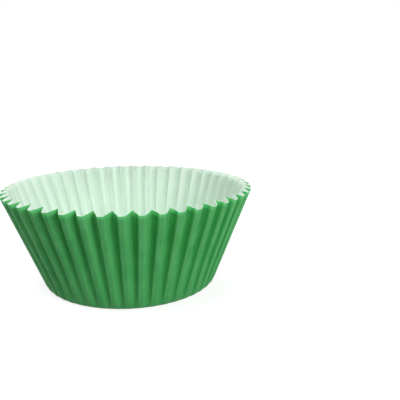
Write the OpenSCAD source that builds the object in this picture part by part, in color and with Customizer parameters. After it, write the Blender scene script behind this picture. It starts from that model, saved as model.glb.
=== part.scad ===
// Cupcake liner: one disc of greaseproof paper, pressed into a flat base and a
// fluted wall that leans out to a scalloped rim. It stands on its base, centred
// on the Z axis, and its first groove faces -Y.

/* [Cup] */
// Width of the base, across the fold that turns it up into the wall
base_d = 50; // [42:0.5:60]
// Width of the mouth, across the tops of the ridges
mouth_d = 72.5; // [66:0.5:84]
// Length of the wall from the fold to the rim, along its slope
wall_len = 30.5; // [24:0.5:36]
// How far the rounding of the fold reaches to either side of it
fold_reach = 1.8; // [1:0.1:3]

/* [Flutes] */
// Number of flutes around the wall
flutes = 47; // [36:1:54]
// Depth of a flute at the rim, from ridge to groove
flute_depth = 2.4; // [1.6:0.1:2.8]
// Share of a flute's width that the crisp side of its groove takes
crisp_side = 0.39; // [0.3:0.01:0.45]
// How full that side stands at its edge with the ridge, where 1 is flat
crisp_power = 0.8; // [0.7:0.05:1]
// Share that the groove's rounded side takes
round_side = 0.35; // [0.3:0.01:0.45]
// How softly that side leaves the ridge, where 1 is flat
round_power = 1.4; // [1:0.1:2]
// How soon the flutes deepen above the fold, where 1 is evenly
depth_power = 0.65; // [0.5:0.05:1]

/* [Paper] */
// Thickness of the paper
paper = 0.15; // [0.1:0.01:0.25]

/* [Hidden] */

base_r = base_d / 2;

// Outward run of a ridge for each millimetre of wall
ridge_lean = (mouth_d / 2 - base_r) / wall_len;

// Steps along each side of a groove, and round a whole flute with one for its ridge
crisp_steps = 3;
round_steps = 3;
flute_steps = crisp_steps + 1 + round_steps;

// Steps up the fold, and up the wall above it
fold_steps = 2;
wall_steps = 3;

columns = flutes * flute_steps;
rows = fold_steps + wall_steps;

// Place round one flute from 0 to 1, where 0 and 1 are the bottoms of two grooves
function flute_place(step) =
    step <= crisp_steps ? crisp_side * step / crisp_steps
                        : 1 - round_side * (flute_steps - step) / round_steps;

// Share of the flute's depth: 0 on the ridge and 1 at the bottom of the groove
function groove_share(place) =
    place <= crisp_side ? pow(1 - place / crisp_side, crisp_power)
                        : pow(max(0, 1 - (1 - place) / round_side), round_power);

function depth_at(slope) = flute_depth * pow(slope / wall_len, depth_power);

// Radius and height of the sheet at a distance up the slope. The paper doesn't
// stretch, so every point keeps that distance from the fold, and the grooves,
// which lean out less than the ridges, end higher up at the rim.
function wall_point(slope, place) =
    let (run = ridge_lean * slope - depth_at(slope) * groove_share(place))
    [base_r + run, sqrt(slope * slope - run * run)];

// The fold is a parabola from the flat base to the wall, around the sharp corner
function fold_point(share, place) =
    pow(1 - share, 2) * [base_r - fold_reach, 0]
    + 2 * share * (1 - share) * [base_r, 0]
    + pow(share, 2) * wall_point(fold_reach, place);

function wall_slope(row) =
    fold_reach + (wall_len - fold_reach) * (row - fold_steps) / wall_steps;

function section_point(row, place) =
    row < fold_steps ? fold_point(row / fold_steps, place)
                     : wall_point(wall_slope(row), place);

// Point on the outside of the paper, by row up the wall and column around it
function outer_point(row, column) =
    let (
        place = flute_place(column % flute_steps),
        angle = 360 * (floor(column / flute_steps) + place) / flutes - 90,
        section = section_point(row, place)
    )
    [section.x * cos(angle), section.x * sin(angle), section.y];

// Direction out of the cup, square to the paper between two columns
function square_to(row, column, next) =
    let (
        around = outer_point(row, next) - outer_point(row, column),
        up = outer_point(min(row + 1, rows), column) - outer_point(max(row - 1, 0), column),
        square = cross(around, up)
    )
    square / norm(square);

// Step through the paper, which keeps its thickness on both sides of a crease
function through_paper(row, column) =
    let (
        before = square_to(row, column + columns - 1, column),
        after = square_to(row, column, column + 1)
    )
    paper * (before + after) / (1 + before * after);

function inner_point(row, column) =
    outer_point(row, column) - (row == 0 ? [0, 0, -paper] : through_paper(row, column));

// Two triangles between four corners, which run clockwise seen from outside
function quad(a, b, c, d) = [[a, b, c], [a, c, d]];

// Number of a point in the list that holds the outside first and then the inside
function outer_id(row, column) = row * columns + column % columns;
function inner_id(row, column) = outer_id(row, column) + (rows + 1) * columns;

module liner() {
    sheet_points = [
        each [for (row = [0:rows], column = [0:columns - 1]) outer_point(row, column)],
        each [for (row = [0:rows], column = [0:columns - 1]) inner_point(row, column)]
    ];
    outside = [
        for (row = [0:rows - 1], column = [0:columns - 1]) each quad(
            outer_id(row, column), outer_id(row + 1, column),
            outer_id(row + 1, column + 1), outer_id(row, column + 1))
    ];
    inside = [
        for (row = [0:rows - 1], column = [0:columns - 1]) each quad(
            inner_id(row, column), inner_id(row, column + 1),
            inner_id(row + 1, column + 1), inner_id(row + 1, column))
    ];
    cut_edge = [
        for (column = [0:columns - 1]) each quad(
            outer_id(rows, column), inner_id(rows, column),
            inner_id(rows, column + 1), outer_id(rows, column + 1))
    ];
    base_under = [for (column = [0:columns - 1]) outer_id(0, column)];
    base_top = [for (column = [columns - 1:-1:0]) inner_id(0, column)];
    color("mediumseagreen") polyhedron(
        points = sheet_points,
        faces = concat(outside, inside, cut_edge, [base_under, base_top]),
        convexity = 12);
}

liner();
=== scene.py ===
"""Cupcake liner: the finish of its pressed paper, with plain light and a camera.

Geometry Nodes fold one sheet of paper into the flat base and the fluted wall, a little
unevenly, as a press does. The sizes are those of the part, in metres.
"""

import math

import bpy
from mathutils import Matrix, Vector


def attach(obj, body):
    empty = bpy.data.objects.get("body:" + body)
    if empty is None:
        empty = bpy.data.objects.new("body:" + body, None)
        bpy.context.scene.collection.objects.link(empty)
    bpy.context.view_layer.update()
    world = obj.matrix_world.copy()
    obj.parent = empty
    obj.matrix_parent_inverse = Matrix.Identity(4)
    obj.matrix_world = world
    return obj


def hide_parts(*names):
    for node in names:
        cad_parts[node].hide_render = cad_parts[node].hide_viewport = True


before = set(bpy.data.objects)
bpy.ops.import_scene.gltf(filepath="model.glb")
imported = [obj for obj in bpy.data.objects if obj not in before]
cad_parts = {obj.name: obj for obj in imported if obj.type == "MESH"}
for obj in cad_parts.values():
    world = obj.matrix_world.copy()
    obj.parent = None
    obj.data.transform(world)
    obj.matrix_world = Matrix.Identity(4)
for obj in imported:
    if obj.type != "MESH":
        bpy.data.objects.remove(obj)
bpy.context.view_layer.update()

MM = 0.001

# The liner's shape, as the part has it. The wall is a hair shorter, which keeps the uneven
# sheet within the part. The two sides of a groove are shares of a flute's width, and the
# powers say how each side leaves the ridge and how soon the flutes deepen above the fold.
SHAPE = {
    "Base Radius": 25.0 * MM,
    "Mouth Radius": 36.25 * MM,
    "Wall Length": 30.45 * MM,
    "Fold Reach": 1.8 * MM,
    "Flutes": 47,
    "Flute Depth": 2.4 * MM,
    "Crisp Side": 0.39,
    "Crisp Power": 0.8,
    "Round Side": 0.35,
    "Round Power": 1.4,
    "Depth Power": 0.65,
    "Paper": 0.15 * MM,
}

# How unevenly the press leaves the flutes: shares of a flute's width by which grooves
# wander and by which their bottoms are dragged toward the crisp side at the rim, a share
# of their depth that some lack, how far the rim stands in at places, and the noise's seed
UNEVENNESS = {
    "Width Unevenness": 0.05,
    "Drag": 0.08,
    "Depth Unevenness": 0.12,
    "Lean Unevenness": 0.25 * MM,
    "Seed": 2.0,
}

# How fast each kind of unevenness changes from flute to flute
WANDER_SCALE = 0.45
DEPTH_SCALE = 0.6
LEAN_SCALE = 0.14

# How far past the seed two of the kinds lie in the noise
DEPTH_OFFSET = 11.0
LEAN_OFFSET = 23.0

# How many flute widths of noise the wall's height counts for, and how much the noise is
# stretched around its middle to fill 0 to 1
WALL_IN_NOISE = 0.8
NOISE_STRETCH = 2.0

# How finely the sheet is divided
STEPS_PER_FLUTE = 25
BASE_ROWS = 8
FOLD_ROWS = 6
WALL_ROWS = 20
ROWS = BASE_ROWS + FOLD_ROWS + WALL_ROWS

# How near two points lie to be joined into one: where the sheet meets itself, and where its
# two faces meet at the cut edge
SEAM_GAP = 1e-7
FACES_GAP = 1e-6

# The paper's finish: how fine are its patches of dye, its fibres, and its streaks by flute
# width and height
CLOUD_SCALE = 160.0
FIBRE_SCALE = 3000.0
STREAK_SCALE = (9.0, 0.5, 1.0)

# Its relief, from streaks and a share of fibres, and its sheen
CREASE_HEIGHT = 0.06 * MM
FIBRE_SHARE = 0.3
SHEEN = 0.3

# How strongly patches and streaks mottle the dye, and the sum at which they start to
CLOUD_MOTTLE = 2.2
STREAK_MOTTLE = 1.4
MOTTLE_START = 1.3

# Roughness of each part of the paper, and how much the streaks vary it
OUTSIDE_ROUGHNESS = 0.6
INSIDE_ROUGHNESS = 0.7
CUT_EDGE_ROUGHNESS = 0.8
ROUGHNESS_SPREAD = 0.2

# Share of a flute's width over which the edge of a ridge gets a painted highlight, to each side
# of it, and share of the wall's length above the fold by which the painted shade and highlight of
# the flutes are full
EDGE_WIDTH = 0.05
TONES_FULL = 0.15

# The dye outside, with painted shade on the groove sides and a painted highlight on the ridge
# edges, the paper's own tone inside, with a painted highlight on its ribs, and the tone of its
# cut edge
OUTSIDE_TONES = {
    "ridge": (0.15, 0.68, 0.215, 1.0),
    "mottle": (0.08, 0.53, 0.14, 1.0),
    # Painted shade on both sides of each groove
    "crisp_side": (0.035, 0.40, 0.08, 1.0),
    "rounded_side": (0.09, 0.55, 0.155, 1.0),
    # A painted highlight along the ridge edge
    "ridge_edge": (0.19, 0.74, 0.26, 1.0),
}
INSIDE_TONES = {
    "ridge": (0.70, 0.86, 0.735, 1.0),
    "mottle": (0.66, 0.83, 0.70, 1.0),
    # Paler on the ribs that the grooves make inside, a painted highlight
    "crisp_side": (0.81, 0.92, 0.83, 1.0),
    "rounded_side": (0.81, 0.92, 0.83, 1.0),
    "ridge_edge": (0.70, 0.86, 0.735, 1.0),
}
CUT_EDGE_TONE = (0.55, 0.85, 0.6, 1.0)

# The floor: what the camera sees of it, what it throws back on the liner, and the two
# distances from the liner between which its glow rises to full white
FLOOR_SIZE = 6.0
FLOOR_TONE = (0.35, 0.35, 0.35, 1.0)
FLOOR_BOUNCE = (0.25, 0.25, 0.25, 1.0)
FLOOR_GLOW = 0.85
GLOW_NEAR = 0.08
GLOW_FAR = 0.3

# The white surroundings, and how strongly they light the liner
WORLD_TONE = (1.0, 1.0, 1.0, 1.0)
WORLD_STRENGTH = 0.03

# The lamps, and the point that they light: turned to the right of the liner's front and
# raised, in degrees, with their distance, width and watts
LIT_POINT = (0.0, 0.0, 0.02)
LAMPS = {
    "key_lamp": {"turn": -35.0, "height": 72.0, "distance": 0.6, "size": 0.3, "power": 2.3},
    "side_lamp": {"turn": 40.0, "height": 25.0, "distance": 0.5, "size": 0.25, "power": 1.13},
    "left_lamp": {"turn": -70.0, "height": 5.0, "distance": 0.5, "size": 0.25, "power": 0.08},
    "back_lamp": {"turn": 180.0, "height": 32.0, "distance": 0.6, "size": 0.3, "power": 1.6},
}

# The camera, as it stands before the liner, with its turns in degrees and the nearest it sees
CAMERA_PLACE = (19.52 * MM, -150.96 * MM, 58.32 * MM)
CAMERA_TURN = 0.57
CAMERA_DOWN = 12.85
CAMERA_ROLL = -0.20
CAMERA_NEAR = 0.01
LENS = 46.74


# Node trees


class Field:
    """A number in a node tree that adds and multiplies as plain numbers do."""

    def __init__(self, tree, socket):
        self.tree = tree
        self.socket = socket

    def math(self, operation, *values):
        node = self.tree.nodes.new("ShaderNodeMath")
        node.operation = operation
        for socket, value in zip(node.inputs, values):
            feed(self.tree, value, socket)
        return Field(self.tree, node.outputs[0])

    def __add__(self, other):
        return self.math("ADD", self, other)

    def __sub__(self, other):
        return self.math("SUBTRACT", self, other)

    def __rsub__(self, other):
        return self.math("SUBTRACT", other, self)

    def __mul__(self, other):
        return self.math("MULTIPLY", self, other)

    def __truediv__(self, other):
        return self.math("DIVIDE", self, other)

    def __pow__(self, other):
        return self.math("POWER", self, other)

    def __abs__(self):
        return self.math("ABSOLUTE", self)

    def at_least(self, other):
        return self.math("MAXIMUM", self, other)

    def at_most(self, other):
        return self.math("MINIMUM", self, other)

    def clamped(self):
        """This number, held between 0 and 1."""
        return self.at_most(1.0).at_least(0.0)

    def past_whole(self):
        """How far this number is past a whole one."""
        return self.math("FRACT", self)

    def root(self):
        return self.math("SQRT", self)

    def sine(self):
        return self.math("SINE", self)

    def cosine(self):
        return self.math("COSINE", self)


def feed(tree, value, socket):
    """Links a field or an output to a socket, or sets a plain value on it."""
    if isinstance(value, Field):
        value = value.socket
    if isinstance(value, bpy.types.NodeSocket):
        tree.links.new(value, socket)
    else:
        socket.default_value = value


def add_node(tree, kind, inputs=None, **settings):
    """Adds a node, with its settings and the values or links of its inputs."""
    node = tree.nodes.new(kind)
    for name, value in settings.items():
        setattr(node, name, value)
    for key, value in (inputs or {}).items():
        feed(tree, value, node.inputs[key])
    return node


def vector_of(tree, x, y, z):
    return add_node(tree, "ShaderNodeCombineXYZ", {0: x, 1: y, 2: z}).outputs[0]


# The folded sheet, in Geometry Nodes


def tree_inputs(tree, sizes, materials):
    """Gives the tree its named inputs, and returns each as a field or a socket."""
    tree.interface.new_socket("Geometry", in_out="OUTPUT", socket_type="NodeSocketGeometry")
    for name in sizes:
        kind = "NodeSocketInt" if isinstance(sizes[name], int) else "NodeSocketFloat"
        tree.interface.new_socket(name, in_out="INPUT", socket_type=kind)
    for name in materials:
        tree.interface.new_socket(name, in_out="INPUT", socket_type="NodeSocketMaterial")
    source = tree.nodes.new("NodeGroupInput")
    given = {name: Field(tree, source.outputs[name]) for name in sizes}
    given.update({name: source.outputs[name] for name in materials})
    return given


def slope_of(given, across):
    """How far up the slope from the fold a row of the sheet lies, below 0 on the base.

    The rows run from 0 to 1: from the middle of the base across the fold and up the wall.
    """
    base_end = BASE_ROWS / ROWS
    fold_end = (BASE_ROWS + FOLD_ROWS) / ROWS
    on_base = (across / base_end).clamped()
    in_fold = ((across - base_end) / (fold_end - base_end)).clamped()
    on_wall = ((across - fold_end) / (1.0 - fold_end)).clamped()
    base_radius, reach, length = given["Base Radius"], given["Fold Reach"], given["Wall Length"]
    return (
        on_base * (base_radius - reach) - base_radius
        + in_fold * reach * 2.0
        + on_wall * (length - reach))


def noise_around(tree, spot, scale, offset):
    """Smooth noise from 0 to 1, by place on the sheet."""
    noise = add_node(
        tree, "ShaderNodeTexNoise", {"Vector": spot, "W": offset, "Scale": scale, "Detail": 1.0},
        noise_dimensions="4D")
    below_zero = (NOISE_STRETCH - 1.0) / 2.0
    return (Field(tree, noise.outputs[0]) * NOISE_STRETCH - below_zero).clamped()


def pressed_unevenly(tree, given, turn, height_share):
    """A point's angle, the share of depth that its groove lacks, and how far in its rim is."""
    # One unit of noise is one flute wide
    even_angle = turn * math.tau - math.pi / 2
    ring = given["Flutes"] / math.tau
    spot = vector_of(
        tree, even_angle.cosine() * ring, even_angle.sine() * ring, height_share * WALL_IN_NOISE)
    seed = given["Seed"]

    # Grooves wander to both sides, so this noise runs from -1 to 1
    wander = noise_around(tree, spot, WANDER_SCALE, seed) * 2.0 - 1.0
    shift = wander * given["Width Unevenness"]
    lack = noise_around(tree, spot, DEPTH_SCALE, seed + DEPTH_OFFSET) * given["Depth Unevenness"]
    lean = noise_around(tree, spot, LEAN_SCALE, seed + LEAN_OFFSET) * given["Lean Unevenness"]
    return even_angle + shift * height_share / ring, lack, lean


def flute_marks(given, turn, drag):
    """How deep in its groove a point lies, and its marks: how much it is of each part.

    A groove has one crisp side, which meets the ridge at an edge, and one rounded side.
    """
    flute_place = (turn * given["Flutes"] - drag).past_whole()
    crisp_side = given["Crisp Side"] - drag
    round_side = given["Round Side"] + drag
    up_crisp = (flute_place / crisp_side).clamped()
    up_rounded = ((1.0 - flute_place) / round_side).clamped()
    crisp = (1.0 - up_crisp) ** given["Crisp Power"]
    rounded = (1.0 - up_rounded) ** given["Round Power"]
    from_edge = abs(flute_place - crisp_side)

    # These marks say where shade and highlight are painted. The crisp side's painted shade is
    # deepest past its middle, toward the ridge
    marks = {
        "crisp_side": (up_crisp * up_crisp * math.pi).sine().clamped(),
        "rounded_side": rounded,
        # Where the painted highlight along the ridge edge lies
        "ridge_edge": (1.0 - from_edge / EDGE_WIDTH).clamped(),
    }
    return crisp.at_least(rounded), marks


def wall_point(given, slope, groove, lack, lean):
    """Run and rise from the fold to the wall, on which the paper keeps its length."""
    length = given["Wall Length"]
    on_wall = slope.at_least(given["Fold Reach"])
    depth = given["Flute Depth"] * ((on_wall / length) ** given["Depth Power"]) * (1.0 - lack)
    ridge_lean = (given["Mouth Radius"] - given["Base Radius"]) / length
    run = ridge_lean * on_wall - depth * groove - lean
    return run, (on_wall * on_wall - run * run).root()


def folded_section(given, slope, run, rise):
    """Radius and height of a point. The fold is a parabola from the flat base to the wall."""
    reach = given["Fold Reach"]
    base_radius = given["Base Radius"]
    bend = ((slope + reach) / (reach * 2.0)).clamped()
    before = 1.0 - bend
    radius = (
        before * before * (base_radius - reach)
        + bend * before * base_radius * 2.0
        + bend * bend * (base_radius + run)
        + (slope + reach).at_most(0.0))
    return radius, bend * bend * rise


def folded_position(tree, given, turn, slope):
    """Where a point of the sheet goes when it is pressed, and its marks on the flute."""
    height_share = (slope / given["Wall Length"]).clamped()
    angle, lack, lean = pressed_unevenly(tree, given, turn, height_share)
    groove, marks = flute_marks(given, turn, height_share * given["Drag"])
    run, rise = wall_point(given, slope, groove, lack, lean * height_share)
    radius, height = folded_section(given, slope, run, rise)
    # The painted shade and highlight fade out toward the fold, where the flutes are shallow
    fullness = (height_share / TONES_FULL).clamped()
    faded = {name: marks[name] * fullness for name in marks}
    return vector_of(tree, radius * angle.cosine(), radius * angle.sine(), height), faded


def sheet_map(tree, given, turn, slope):
    """The sheet's own map: flutes around, and flute widths up the slope."""
    flute_width = given["Base Radius"] * math.tau / given["Flutes"]
    return vector_of(tree, turn * given["Flutes"], slope / flute_width, 0.0)


def stored(tree, geometry, name, value, data_type, domain):
    """The geometry, with a value stored on it under a name."""
    store = add_node(
        tree, "GeometryNodeStoreNamedAttribute",
        {"Geometry": geometry, "Name": name, "Value": value},
        data_type=data_type, domain=domain)
    return store.outputs[0]


def joined_points(tree, geometry, gap):
    merge = add_node(
        tree, "GeometryNodeMergeByDistance", {"Geometry": geometry, "Distance": gap})
    return merge.outputs[0]


def closed_shell(tree, given, sheet):
    """Gives the sheet its thickness, with a material each for outside, inside and cut edge."""
    inward = add_node(
        tree, "ShaderNodeVectorMath",
        {0: tree.nodes.new("GeometryNodeInputNormal").outputs[0], "Scale": given["Paper"] * -1.0},
        operation="SCALE")
    inner_face = add_node(
        tree, "GeometryNodeSetPosition", {"Geometry": sheet, "Offset": inward.outputs[0]})
    outside = add_node(
        tree, "GeometryNodeExtrudeMesh",
        {"Mesh": inner_face.outputs[0], "Offset Scale": given["Paper"], "Individual": False})
    inside = add_node(tree, "GeometryNodeFlipFaces", {"Mesh": inner_face.outputs[0]})
    both = tree.nodes.new("GeometryNodeJoinGeometry")
    tree.links.new(inside.outputs[0], both.inputs[0])
    tree.links.new(outside.outputs["Mesh"], both.inputs[0])
    finished = joined_points(tree, both.outputs[0], FACES_GAP)
    for name, choice in (
            ("Inside", True),
            ("Outside", outside.outputs["Top"]),
            ("Cut Edge", outside.outputs["Side"])):
        painted = add_node(
            tree, "GeometryNodeSetMaterial",
            {"Geometry": finished, "Selection": choice, "Material": given[name]})
        finished = painted.outputs[0]
    return finished


def pressed_sheet_tree(sizes, materials):
    """The node tree that presses a sheet into a cup."""
    tree = bpy.data.node_groups.new("pressed_sheet", "GeometryNodeTree")
    given = tree_inputs(tree, sizes, materials)
    grid = add_node(
        tree, "GeometryNodeMeshGrid",
        {"Size X": 1.0, "Size Y": 1.0, "Vertices X": given["Flutes"] * STEPS_PER_FLUTE + 1.0,
         "Vertices Y": ROWS + 1})
    apart = add_node(tree, "ShaderNodeSeparateXYZ", {0: grid.outputs["UV Map"]})
    turn = Field(tree, apart.outputs[0])
    slope = slope_of(given, Field(tree, apart.outputs[1]))
    position, marks = folded_position(tree, given, turn, slope)
    own_map = sheet_map(tree, given, turn, slope)

    sheet = stored(tree, grid.outputs["Mesh"], "sheet", own_map, "FLOAT2", "CORNER")
    for name in marks:
        sheet = stored(tree, sheet, name, marks[name], "FLOAT", "POINT")
    folded = add_node(tree, "GeometryNodeSetPosition", {"Geometry": sheet, "Position": position})
    sealed = joined_points(tree, folded.outputs[0], SEAM_GAP)
    smooth = add_node(tree, "GeometryNodeSetShadeSmooth", {"Geometry": sealed})
    result = tree.nodes.new("NodeGroupOutput")
    tree.links.new(closed_shell(tree, given, smooth.outputs[0]), result.inputs[0])
    return tree


def pressed_sheet(name, sizes, materials):
    """A plain mesh object, made by the node tree with these sizes and materials."""
    source = bpy.data.objects.new(name, bpy.data.meshes.new(name))
    bpy.context.scene.collection.objects.link(source)
    modifier = source.modifiers.new("pressed_sheet", "NODES")
    modifier.node_group = pressed_sheet_tree(sizes, materials)
    values = {**sizes, **materials}
    for item in modifier.node_group.interface.items_tree:
        if item.in_out == "INPUT":
            modifier[item.identifier] = values[item.name]
    evaluated = source.evaluated_get(bpy.context.evaluated_depsgraph_get())
    mesh = bpy.data.meshes.new_from_object(evaluated)
    source.modifiers.remove(modifier)
    source.data = mesh
    return source


# Materials


def new_material(name):
    """A material with nodes, and its shader."""
    material = bpy.data.materials.new(name)
    material.use_nodes = True
    return material, material.node_tree.nodes["Principled BSDF"]


def mixed(tree, share, first, second):
    """A colour between two colours, by share. They are the mix node's inputs 6 and 7."""
    mix = add_node(
        tree, "ShaderNodeMix", {"Factor": share, 6: first, 7: second}, data_type="RGBA")
    return mix.outputs["Result"]


def noise_at(tree, place, scale, detail):
    noise = add_node(
        tree, "ShaderNodeTexNoise", {"Vector": place, "Scale": scale, "Detail": detail})
    return Field(tree, noise.outputs[0])


def paper_streaks(tree):
    """Fine creases that run up the wall, on the sheet's own map."""
    sheet = add_node(tree, "ShaderNodeUVMap", uv_map="sheet").outputs[0]
    stretched = add_node(
        tree, "ShaderNodeVectorMath", {0: sheet, 1: STREAK_SCALE}, operation="MULTIPLY")
    return noise_at(tree, stretched.outputs[0], scale=1.0, detail=3.0)


def mark(tree, name):
    """One of the sheet's marks."""
    return Field(tree, add_node(tree, "ShaderNodeAttribute", attribute_name=name).outputs["Fac"])


def paper_material(name, tones, roughness):
    """Greaseproof paper: mottled dye, painted light and shade on the parts of each flute, and
    fine streaks.
    """
    material, shader = new_material(name)
    tree = material.node_tree
    place = add_node(tree, "ShaderNodeTexCoord").outputs["Object"]
    clouds = noise_at(tree, place, CLOUD_SCALE, detail=3.0)
    fibres = noise_at(tree, place, FIBRE_SCALE, detail=4.0)
    streaks = paper_streaks(tree)

    uneven = clouds * CLOUD_MOTTLE + streaks * STREAK_MOTTLE - MOTTLE_START
    colour = mixed(tree, uneven.clamped(), tones["ridge"], tones["mottle"])
    # Painted light and shade by part: darker groove sides and paler ridge edges outside, paler
    # ribs inside
    for part in ("crisp_side", "rounded_side", "ridge_edge"):
        colour = mixed(tree, mark(tree, part), colour, tones[part])
    tree.links.new(colour, shader.inputs["Base Color"])
    smoothest = roughness - ROUGHNESS_SPREAD / 2
    feed(tree, streaks * ROUGHNESS_SPREAD + smoothest, shader.inputs["Roughness"])
    shader.inputs["Specular IOR Level"].default_value = SHEEN

    bump = add_node(
        tree, "ShaderNodeBump",
        {"Height": streaks + fibres * FIBRE_SHARE, "Strength": 1.0, "Distance": CREASE_HEIGHT})
    tree.links.new(bump.outputs[0], shader.inputs["Normal"])
    return material


def cut_edge_material():
    material, shader = new_material("cut_edge")
    shader.inputs["Base Color"].default_value = CUT_EDGE_TONE
    shader.inputs["Roughness"].default_value = CUT_EDGE_ROUGHNESS
    return material


def make_liner():
    """The liner, which stands for the part's one node."""
    materials = {
        "Outside": paper_material("outside_paper", OUTSIDE_TONES, OUTSIDE_ROUGHNESS),
        "Inside": paper_material("inside_paper", INSIDE_TONES, INSIDE_ROUGHNESS),
        "Cut Edge": cut_edge_material(),
    }
    liner = pressed_sheet("paper_liner", {**SHAPE, **UNEVENNESS}, materials)
    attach(liner, "root")
    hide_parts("liner")


# Floor, lights and camera


def seen_directly(tree):
    """1 for what the camera sees, also in a reflection or through glass, and 0 for the light."""
    path = add_node(tree, "ShaderNodeLightPath")
    kinds = [Field(tree, path.outputs[name]) for name in (
        "Is Camera Ray", "Is Glossy Ray", "Is Transmission Ray")]
    return (kinds[0] + kinds[1] + kinds[2]).clamped()


def floor_material():
    """White with the liner's shadow where it is seen, and a dimmer grey to the light."""
    material, shader = new_material("floor")
    tree = material.node_tree
    tree.nodes.remove(shader)
    place = add_node(tree, "ShaderNodeTexCoord").outputs["Object"]
    distance = add_node(tree, "ShaderNodeVectorMath", {0: place}, operation="LENGTH")
    shine = add_node(
        tree, "ShaderNodeMapRange",
        {"Value": distance.outputs["Value"], "From Min": GLOW_NEAR, "From Max": GLOW_FAR,
         "To Min": FLOOR_GLOW, "To Max": 1.0})
    glow = add_node(tree, "ShaderNodeEmission", {"Strength": shine.outputs[0]})
    seen = add_node(tree, "ShaderNodeBsdfDiffuse", {"Color": FLOOR_TONE})
    white = add_node(tree, "ShaderNodeAddShader", {0: glow.outputs[0], 1: seen.outputs[0]})
    unseen = add_node(tree, "ShaderNodeBsdfDiffuse", {"Color": FLOOR_BOUNCE})
    either = add_node(
        tree, "ShaderNodeMixShader",
        {0: seen_directly(tree), 1: unseen.outputs[0], 2: white.outputs[0]})
    tree.links.new(either.outputs[0], tree.nodes["Material Output"].inputs["Surface"])
    return material


def make_floor():
    bpy.ops.mesh.primitive_plane_add(size=FLOOR_SIZE, location=(0.0, 0.0, 0.0))
    floor = bpy.context.object
    floor.name = "floor"
    floor.data.materials.append(floor_material())


def make_world():
    """White where it is seen, and a faint light from all around."""
    world = bpy.data.worlds.new("world")
    world.use_nodes = True
    tree = world.node_tree
    strength = add_node(
        tree, "ShaderNodeMix", {"Factor": seen_directly(tree), "A": WORLD_STRENGTH, "B": 1.0},
        data_type="FLOAT")
    background = tree.nodes["Background"]
    background.inputs["Color"].default_value = WORLD_TONE
    tree.links.new(strength.outputs[0], background.inputs["Strength"])
    bpy.context.scene.world = world


def make_lamp(name, turn, height, distance, size, power):
    """A square soft lamp, aimed at the liner."""
    data = bpy.data.lights.new(name, "AREA")
    data.size = size
    data.energy = power
    lamp = bpy.data.objects.new(name, data)
    around = Matrix.Rotation(math.radians(turn), 4, "Z")
    upward = Matrix.Rotation(math.radians(-height), 4, "X")
    lit_point = Vector(LIT_POINT)
    lamp.location = lit_point + around @ upward @ Vector((0.0, -distance, 0.0))
    lamp.rotation_euler = (lit_point - lamp.location).to_track_quat("-Z", "Y").to_euler()
    bpy.context.scene.collection.objects.link(lamp)


def make_camera():
    data = bpy.data.cameras.new("camera")
    data.lens = LENS
    data.clip_start = CAMERA_NEAR
    camera = bpy.data.objects.new("camera", data)
    camera.matrix_world = (
        Matrix.Translation(CAMERA_PLACE)
        @ Matrix.Rotation(math.radians(-CAMERA_TURN), 4, "Z")
        @ Matrix.Rotation(math.radians(90.0 - CAMERA_DOWN), 4, "X")
        @ Matrix.Rotation(math.radians(CAMERA_ROLL), 4, "Z"))
    bpy.context.scene.collection.objects.link(camera)
    bpy.context.scene.camera = camera


make_liner()
make_floor()
make_world()
for lamp_name, lamp_values in LAMPS.items():
    make_lamp(lamp_name, **lamp_values)
make_camera()
bpy.context.scene.view_settings.view_transform = "Standard"
